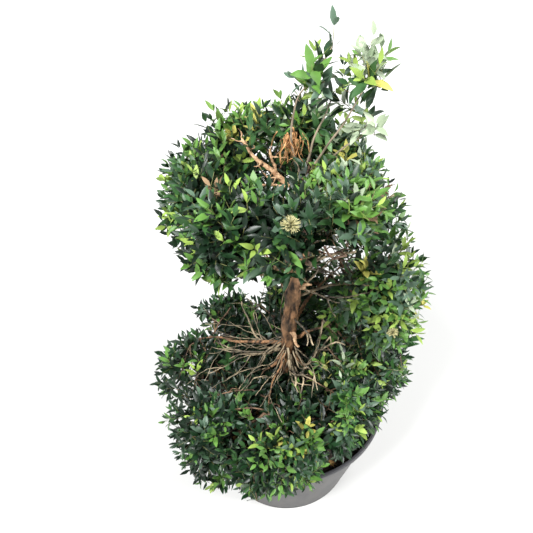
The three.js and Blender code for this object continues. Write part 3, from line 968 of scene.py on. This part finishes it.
def tubes_mesh(starts, ends, start_thick, end_thick, sides, bow):
    """Thin tapered tubes from starts to ends, each bowed a little to one side, as one mesh's arrays."""
    count = len(starts)
    along = ends - starts
    length = np.linalg.norm(along, axis=1)
    along = along / np.maximum(length, 1e-9)[:, None]
    helper = np.where(np.abs(along[:, 2:3]) > 0.8, [[1.0, 0, 0]], [[0, 0, 1.0]])
    side = np.cross(along, helper)
    side /= np.linalg.norm(side, axis=1)[:, None]
    other = np.cross(along, side)
    shares = np.array([0.0, 0.5, 1.0])
    turn = rng.uniform(0, 2 * math.pi, count)
    off = (side * np.cos(turn)[:, None] + other * np.sin(turn)[:, None]) * (length * bow)[:, None]
    rings = []
    for share in shares:
        centre = starts + along * (length * share)[:, None] + off * math.sin(math.pi * share)
        thick = start_thick + (end_thick - start_thick) * share
        for k in range(sides):
            angle = 2 * math.pi * k / sides
            rings.append(centre + (side * math.cos(angle) + other * math.sin(angle)) * thick[:, None])
    points = np.stack(rings, axis=1)
    faces = []
    for ring in range(len(shares) - 1):
        for k in range(sides):
            a, b = ring * sides + k, ring * sides + (k + 1) % sides
            faces.append((a, b, b + sides, a + sides))
    face = np.array(faces)
    caps = [list(range(sides))[::-1], [2 * sides + k for k in range(sides)]]
    per = points.shape[1]
    quads = (face[None] + (np.arange(count) * per)[:, None, None]).reshape(-1, 4)
    ends_of = (np.array(caps)[None] + (np.arange(count) * per)[:, None, None]).reshape(-1, sides)
    return points.reshape(-1, 3), [quads, ends_of]


def mesh_piece(name, points, polygon_sets, smooth=True):
    """One object made of many small repeated shapes, its place in its mesh."""
    mesh = bpy.data.meshes.new(name)
    sizes = np.concatenate([np.full(len(polygons), polygons.shape[1]) for polygons in polygon_sets])
    loops = np.concatenate([polygons.reshape(-1) for polygons in polygon_sets])
    mesh.vertices.add(len(points))
    mesh.vertices.foreach_set("co", np.ascontiguousarray(points, dtype=np.float32).ravel())
    mesh.loops.add(len(loops))
    mesh.loops.foreach_set("vertex_index", loops.astype(np.int32))
    mesh.polygons.add(len(sizes))
    mesh.polygons.foreach_set("loop_start", np.concatenate([[0], np.cumsum(sizes)[:-1]]).astype(np.int32))
    mesh.polygons.foreach_set("use_smooth", np.full(len(sizes), smooth))
    mesh.update(calc_edges=True)
    mesh.validate()
    piece = bpy.data.objects.new(name, mesh)
    bpy.context.collection.objects.link(piece)
    return piece


# The link from a twig to its parent never starts thicker than the parent, so each fork looks grown.
linked = np.flatnonzero(parent >= 0)
start_thick = np.minimum(twig_thick[parent[linked]], twig_thick[linked] * 1.35)
on_limb = parent[linked] < limb_count
start_thick[on_limb] = twig_thick[linked][on_limb] * 1.3
thick_links = twig_thick[linked] > 0.0012
bare_links = bare[linked]

# Twigs are dull brown, a tone lighter or darker every 26 mm or so. Bare branches vary more, from grey
# where weathered to tan where their bark has worn away.
brown_twig = flecked_finish("thin_brown_twig_bark", 0.8, 38.0, ((0.35, "#4e3c31"), (0.68, "#8a6d54")))
tan_branch = flecked_finish(
    "bare_tan_branch_bark", 0.75, 30.0, ((0.38, "#4b4439"), (0.66, "#b3a284")), detail=5.0
)

for name, pick, sides, material in [
    ("inner_branches", bare_links, 6, tan_branch),
    ("branchlets", thick_links & ~bare_links, 5, brown_twig),
    ("twigs", ~thick_links & ~bare_links, 3, brown_twig),
]:
    link = linked[pick]
    points, polygons = tubes_mesh(
        tree.place[parent[link]], tree.place[link], start_thick[pick], twig_thick[link], sides, 0.05
    )
    piece = mesh_piece(name, points, polygons)
    piece.data.materials.append(material)
    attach(piece, "root")


# ---- Leafy shoots and their leaves ----
# Small stiff evergreen leaves, broadest below the middle and pointed, in opposite pairs each turned a
# quarter from the last. Each has its own outline, folded slightly along the rib and curved back.
leaf_length = 0.033
tip_angle, side_angle = 34, 56


def leaf_outline():
    """One leaf along +X with its face up: a rib and two edges at four stations, a base and a tip."""
    points = [(0.0, 0.0, 0.0), (1.0, 0.0, -0.075)]
    stations = [(0.14, 0.095, 0.008), (0.38, 0.19, 0.006), (0.66, 0.155, -0.014), (0.87, 0.072, -0.045)]
    for along, half, dip in stations:
        points += [(along, half, dip + half * 0.24), (along, 0.0, dip), (along, -half, dip + half * 0.24)]
    last = len(points) - 3
    threes = [(0, 3, 2), (0, 4, 3), (last, last + 1, 1), (last + 1, last + 2, 1)]
    fours = []
    for left in range(2, last, 3):
        fours += [(left, left + 1, left + 4, left + 3), (left + 1, left + 2, left + 5, left + 4)]
    return np.array(points), np.array(threes), np.array(fours)


leaf_points, leaf_threes, leaf_fours = leaf_outline()


def leaves_piece(name, places, shapes, sizes):
    """Copies of the leaf as one object: each its place, its shaped and turned points, and its length."""
    points = places[:, None] + shapes * sizes[:, None, None]
    starts = (np.arange(len(places)) * len(leaf_points))[:, None, None]
    threes = (leaf_threes[None] + starts).reshape(-1, 3)
    fours = (leaf_fours[None] + starts).reshape(-1, 4)
    return mesh_piece(name, points.reshape(-1, 3), [threes, fours])


leaf_place, leaf_x, leaf_y, leaf_z, leaf_size, leaf_shoot, leaf_order = [], [], [], [], [], [], []
stalk_from, stalk_to = [], []
up = np.array([0, 0, 1.0])


def unit(vector):
    return vector / max(np.linalg.norm(vector), 1e-9)


for i in range(len(shoot_end)):
    base, end = shoot_base[i], shoot_end[i]
    out = unit(end - base)
    length = np.linalg.norm(end - base)
    side = unit(np.cross(out, up) if abs(out[2]) < 0.95 else np.cross(out, [1.0, 0, 0]))
    roll = rng.uniform(0, math.pi / 2)
    across = np.cross(out, side)
    gap = rng.uniform(0.0125, 0.0165)
    pairs = int(length / gap)
    stalk_from.append(base)
    stalk_to.append(end)
    vigour = rng.uniform(0.78, 1.1)
    for pair in range(pairs + 1):
        at = end - out * gap * pair * rng.uniform(0.95, 1.05)
        # The youngest pair, at the tip, is the smallest and the least open.
        young = 0.62 if pair == 0 else (0.88 if pair == 1 else 1.0)
        angle = roll + pair * math.pi / 2 + rng.normal(0, 0.15)
        around = side * math.cos(angle) + across * math.sin(angle)
        for sign in (1, -1):
            if rng.random() < 0.08 + 0.05 * pair / (pairs + 1):
                continue
            open_angle = math.radians(rng.normal(tip_angle if pair == 0 else side_angle, 9))
            x_way = out * math.cos(open_angle) + around * sign * math.sin(open_angle)
            x_way = unit(x_way + up * 0.16)
            z_way = out * math.sin(open_angle) - around * sign * math.cos(open_angle)
            z_way = z_way + 0.35 * up + rng.normal(0, 0.16, 3)
            y_way = unit(np.cross(z_way, x_way))
            leaf_place.append(at + around * sign * 0.0012)
            leaf_x.append(x_way)
            leaf_y.append(y_way)
            leaf_z.append(np.cross(x_way, y_way))
            leaf_size.append(leaf_length * young * vigour * rng.uniform(0.86, 1.12))
            leaf_shoot.append(i)
            leaf_order.append(pair)
leaf_place, leaf_x, leaf_y, leaf_z = map(np.array, (leaf_place, leaf_x, leaf_y, leaf_z))
leaf_size, leaf_shoot, leaf_order = map(np.array, (leaf_size, leaf_shoot, leaf_order))

# The shoots themselves are three-sided stalks, 1.4 mm across at the foot and soft green-brown all over.
stalk_foot, stalk_tip = 0.0007, 0.0004
points, polygons = tubes_mesh(
    np.array(stalk_from), np.array(stalk_to),
    np.full(len(stalk_from), stalk_foot), np.full(len(stalk_from), stalk_tip), 3, 0.03,
)
stalks = mesh_piece("leafy_shoots", points, polygons)
green_stalk, shader = new_material("green_brown_shoot_skin", Base_Color=linear("#6f7040"), Roughness=0.6)
stalks.data.materials.append(green_stalk)
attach(stalks, "root")


def leaf_finish(name, face, back, rough, sheen):
    """A waxy leaf: its colour, a paler dull underside, and a faint change of tone from leaf to leaf."""
    material, shader = new_material(name, Roughness=rough, IOR=1.45)
    shader.inputs["Specular IOR Level"].default_value = sheen
    side_of = add_node(material, "ShaderNodeNewGeometry")
    place = add_node(material, "ShaderNodeTexCoord").outputs["Object"]
    tone = add_node(material, "ShaderNodeTexNoise", Vector=place, Scale=30.0, Detail=2.0)
    light = add_node(material, "ShaderNodeHueSaturation", Color=linear(face))
    lift = add_node(
        material, "ShaderNodeMapRange", Value=tone.outputs[0],
        From_Min=0.3, From_Max=0.7, To_Min=0.72, To_Max=1.3,
    )
    material.node_tree.links.new(lift.outputs[0], light.inputs["Value"])
    both = add_node(
        material, "ShaderNodeMix", {"data_type": "RGBA"},
        _0=side_of.outputs["Backfacing"], _6=light.outputs[0], _7=linear(back),
    )
    material.node_tree.links.new(both.outputs["Result"], shader.inputs["Base Color"])
    return material


# Each kind of leaf: its name, the colour of its face and of its back, its roughness and its gloss.
leaf_kinds = [
    ("deep_green", "#0d2011", "#28402a", 0.42, 0.5),
    ("dark_green", "#18341b", "#33502f", 0.43, 0.5),
    ("mid_green", "#30532a", "#557a45", 0.44, 0.5),
    ("grey_green", "#485f4c", "#6c8470", 0.44, 0.5),
    ("sage", "#94a287", "#99aa8e", 0.46, 0.45),
    ("fresh_green", "#547b36", "#77994f", 0.46, 0.4),
    ("lime", "#869f4a", "#97b35d", 0.48, 0.35),
    ("yellow_green", "#aaa656", "#b1b86c", 0.5, 0.3),
    ("bronze", "#6b563f", "#80674d", 0.5, 0.3),
    ("dead_tan", "#8b745a", "#9a8568", 0.8, 0.1),
]
kind_index = {kind[0]: k for k, kind in enumerate(leaf_kinds)}


def kind_shares(place, tuft, inner):
    """The chances of each leaf colour for a spray, by where it grows: mixes painted lighter as light falling
    on the right, on the tuft's right part and on the head's top left, and painted dark as shade further in.
    """
    x, y, z = place
    # Leaves further in are painted dark as shade, least so on the right and at the back of the head.
    if inner and (x > 0.03 and z > 0.55 or z > 0.97 and y > 0.02):
        return dict(deep_green=0.25, dark_green=0.4, mid_green=0.25, grey_green=0.1)
    if inner:
        return dict(deep_green=0.8, dark_green=0.2)
    if tuft and x < 0.055:
        return dict(dark_green=0.12, mid_green=0.14, grey_green=0.36, sage=0.2, fresh_green=0.12,
                    lime=0.06)
    # In the tuft's right part the leaves are painted pale, as light falling on them.
    if tuft:
        return dict(sage=0.55, grey_green=0.18, fresh_green=0.14, mid_green=0.05, lime=0.06,
                    yellow_green=0.02)
    green = dict(deep_green=0.36, dark_green=0.3, mid_green=0.17, grey_green=0.08, fresh_green=0.07,
                 lime=0.016, yellow_green=0.006, bronze=0.004, dead_tan=0.0015)
    # The pale mix is painted paler, as light falling on the right side.
    pale = dict(deep_green=0.02, dark_green=0.05, mid_green=0.27, grey_green=0.2, sage=0.1,
                fresh_green=0.25, lime=0.085, yellow_green=0.02, bronze=0.003, dead_tan=0.002)
    # This mix is painted lighter and yellower, as sunlight falling on the head's top left.
    painted_sunlit_mix = dict(deep_green=0.22, dark_green=0.24, mid_green=0.28, grey_green=0.06, sage=0.05,
                 fresh_green=0.18, lime=0.12, yellow_green=0.08, bronze=0.012, dead_tan=0.006)
    if x < -0.1 and z < 0.62:
        green.update(fresh_green=0.025, lime=0.006, mid_green=0.1, grey_green=0.1)
    # The share of the pale mix grows towards the right, above the skirt's foot, where light is painted on the
    # leaves.
    painted_light_on_right = float(smooth_step(x, -0.02, 0.06) * smooth_step(z, 0.45, 0.7))
    # The painted sunlight falls on the top of the head, at its left and back.
    painted_sunlight_share = float(smooth_step(z, 0.95, 1.02) * (1 - smooth_step(x, -0.04, 0.04)))
    painted_sunlight_share *= float(smooth_step(y, -0.08, 0.03))
    shares = {}
    for kind in pale | painted_sunlit_mix:
        plain = green.get(kind, 0) * (1 - painted_sunlight_share) + painted_sunlit_mix.get(kind, 0) * painted_sunlight_share
        shares[kind] = plain * (1 - painted_light_on_right) + pale.get(kind, 0) * painted_light_on_right
    return shares


dealer = np.random.default_rng(19)
shoot_kind = np.zeros(len(shoot_end), dtype=int)
for i in range(len(shoot_end)):
    shares = kind_shares(shoot_end[i], in_tuft[i], shoot_is_inner[i])
    weights = np.array([shares.get(kind[0], 0.0) for kind in leaf_kinds])
    shoot_kind[i] = dealer.choice(len(leaf_kinds), p=weights / weights.sum())
# A few sprays scorched brown where the ring was cut back hard.
for scorched in [(-0.144, -0.058, 1.04), (-0.03, -0.2, 0.98)]:
    nearest = np.linalg.norm(shoot_end - scorched, axis=1)
    shoot_kind[np.argsort(nearest)[: 2 if scorched[0] < -0.1 else 1]] = kind_index["dead_tan"]
leaf_kind = shoot_kind[leaf_shoot]
tip_leaf = leaf_order <= 1
shady = shoot_is_inner | ((shoot_end[:, 0] < -0.1) & (shoot_end[:, 2] < 0.62))
flush = dealer.random(len(shoot_end)) < np.where(in_tuft, 0.1, np.where(shady, 0, 0.06))
budding = dealer.random(len(shoot_end)) < np.where(shoot_is_inner, 0, np.where(shady, 0.05, 0.13))
flush_leaf, budding_leaf = tip_leaf & flush[leaf_shoot], tip_leaf & budding[leaf_shoot]
leaf_kind[budding_leaf] = kind_index["fresh_green"]
leaf_kind[flush_leaf] = kind_index["lime"]

for k, (name, face, back, rough, sheen) in enumerate(leaf_kinds):
    pick = np.flatnonzero(leaf_kind == k)
    if not len(pick):
        continue
    frame_of = np.stack([leaf_x[pick], leaf_y[pick], leaf_z[pick]], axis=1)
    # Each leaf has its own width, a little more in the tuft, and its own fold.
    one = np.repeat(leaf_points[None], len(pick), axis=0)
    width = rng.uniform(0.84, 1.12, len(pick)) * np.where(in_tuft[leaf_shoot[pick]], 1.08, 1.0)
    one[:, :, 1] *= width[:, None]
    one[:, :, 2] *= rng.uniform(0.2, 1.9, len(pick))[:, None]
    shape = np.einsum("npk,nkj->npj", one, frame_of)
    piece = leaves_piece("leaves_" + name, leaf_place[pick], shape, leaf_size[pick])
    piece.data.materials.append(leaf_finish("waxy_leaf_" + name, face, back, rough, sheen))
    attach(piece, "root")
    if name == "mid_green":
        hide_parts(*band_names)
    if name == "fresh_green":
        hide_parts(*tuft_names)


# ---- Flower heads ----
# Two small round flower heads sit on the leaves: a bunch of fine cream stamens round a green button.
def flower_head(name, middle, radius, count):
    ways = rng.normal(0, 1, (count, 3))
    ways[:, 2] = np.abs(ways[:, 2]) * 0.9 - 0.25
    ways /= np.linalg.norm(ways, axis=1)[:, None]
    starts = middle + ways * radius * 0.15
    ends = middle + ways * (radius * rng.uniform(0.75, 1.05, count))[:, None]
    points, polygons = tubes_mesh(starts, ends, np.full(count, 0.0004), np.full(count, 0.00055), 3, 0.08)
    head_piece = mesh_piece(name, points, polygons)
    head_piece.data.materials.append(cream_stamen)
    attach(head_piece, "root")


# Stamens are soft and matt, cream to dull green over a few millimetres.
cream_stamen = flecked_finish("cream_stamens", 0.7, 300.0, ((0.35, "#7f7d4a"), (0.6, "#bdb688")), detail=2.0)
for name, over, radius, count in [
    ("flower_on_ring", (-0.017, -0.183, 1.09), 0.0145, 130),
    ("flower_on_side", (0.20, -0.06, 0.71), 0.012, 90),
]:
    outermost = np.argmin(np.linalg.norm(skin_place - over, axis=1))
    flower_head(name, skin_place[outermost] - skin_way[outermost] * 0.001, radius, count)


# ---- Torn bark strips ----
# Shreds of orange inner bark hang in a bunch where a limb tore away under the tuft.
strip_count, strip_steps = 38, 9
torn_at = np.array([-0.018, 0.012, 1.078])


def strip_line(start, way, reach):
    """A strip's middle line, wandering and drawn down by its weight."""
    line = [start]
    for _ in range(strip_steps):
        way = unit(way + rng.normal(0, 0.22, 3) - 0.12 * up)
        line.append(line[-1] + way * reach / strip_steps)
    return line


strip_points, strip_faces = [], []
for _ in range(strip_count):
    root = torn_at + rng.normal(0, [0.009, 0.005, 0.007])
    lean = unit([rng.normal(0, 0.3), rng.normal(0, 0.3), -1.0])
    line = strip_line(root, lean, rng.uniform(0.025, 0.052))
    wide = rng.uniform(0.0007, 0.0017)
    spin = rng.uniform(0, math.pi)
    first = len(strip_points)
    for j, spot in enumerate(line):
        spin += rng.normal(0.25, 0.3)
        across = np.array([math.cos(spin), math.sin(spin), 0.2]) * wide * (1 - 0.6 * j / strip_steps)
        strip_points += [spot - across, spot + across]
    for j in range(strip_steps):
        a = first + 2 * j
        strip_faces.append((a, a + 1, a + 3, a + 2))
strips = mesh_piece("torn_bark_strips", np.array(strip_points), [np.array(strip_faces)])
thickness = strips.modifiers.new("thickness", "SOLIDIFY")
thickness.thickness = 0.0004
bpy.context.view_layer.objects.active = strips
bpy.ops.object.modifier_apply(modifier="thickness")
# Inner bark is fibrous and matt, orange where fresh and browner where it has dried, every 6 mm or so.
orange_bast = flecked_finish("orange_inner_bark", 0.75, 160.0, ((0.35, "#8a5a30"), (0.65, "#d0a06c")))
strips.data.materials.append(orange_bast)
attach(strips, "root")


# ---- Litter on the potting mix ----
# Fallen leaves gone tan, and chips of composted bark, lie loose on the mix.
def scattered(count, reach):
    turn = rng.uniform(0, 2 * math.pi, count)
    out = reach * np.sqrt(rng.uniform(0.05, 1, count))
    spots = np.stack([out * np.cos(turn), out * np.sin(turn), np.zeros(count)], axis=1)
    for spot in spots:
        hit = mix_skin.ray_cast(Vector((spot[0], spot[1], mix_high[2] + 0.05)), Vector((0, 0, -1)))[0]
        spot[2] = (hit.z if hit else mix_high[2] - 0.006) + 0.0015
    return spots


mix_skin = BVHTree.FromObject(mix, bpy.context.evaluated_depsgraph_get())
fallen = scattered(170, mix_radius - 0.02)
turn = rng.uniform(0, 2 * math.pi, len(fallen))
x_ways = np.stack([np.cos(turn), np.sin(turn), rng.normal(0, 0.12, len(fallen))], axis=1)
x_ways /= np.linalg.norm(x_ways, axis=1)[:, None]
tilts = rng.normal(0, 0.2, (2, len(fallen)))
tilt = np.stack([*tilts, np.ones(len(fallen))], axis=1)
y_ways = np.cross(tilt, x_ways)
y_ways /= np.linalg.norm(y_ways, axis=1)[:, None]
frame_of = np.stack([x_ways, y_ways, np.cross(x_ways, y_ways)], axis=1)
# A fallen leaf has dried out, so it is smaller than a green one and curled, tan and without gloss.
shape = np.einsum("pk,nkj->npj", leaf_points * [1, 1, 1.6], frame_of)
litter = leaves_piece("fallen_leaves", fallen, shape, rng.uniform(0.02, 0.032, len(fallen)))
litter.data.materials.append(leaf_finish("dry_fallen_leaf", "#a88455", "#b0946b", 0.85, 0.1))
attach(litter, "root")

chips_at = scattered(420, mix_radius - 0.012)
turn = rng.uniform(0, 2 * math.pi, len(chips_at))
chip_way = np.stack([np.cos(turn), np.sin(turn), rng.normal(0, 0.25, len(chips_at))], axis=1)
chip_half = rng.uniform(0.002, 0.0075, len(chips_at))[:, None]
points, polygons = tubes_mesh(
    chips_at - chip_way * chip_half, chips_at + chip_way * chip_half,
    rng.uniform(0.0008, 0.0028, len(chips_at)), rng.uniform(0.0006, 0.002, len(chips_at)), 4, 0.05,
)
chips = mesh_piece("bark_chips", points, polygons, smooth=False)
# Chips are damp and dull, each a different brown, as the flecks are about as large as a chip.
chip_bark = flecked_finish("composted_bark_chip", 0.9, 90.0, ((0.35, "#2c2019"), (0.66, "#7c5f45")))
chips.data.materials.append(chip_bark)
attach(chips, "root")
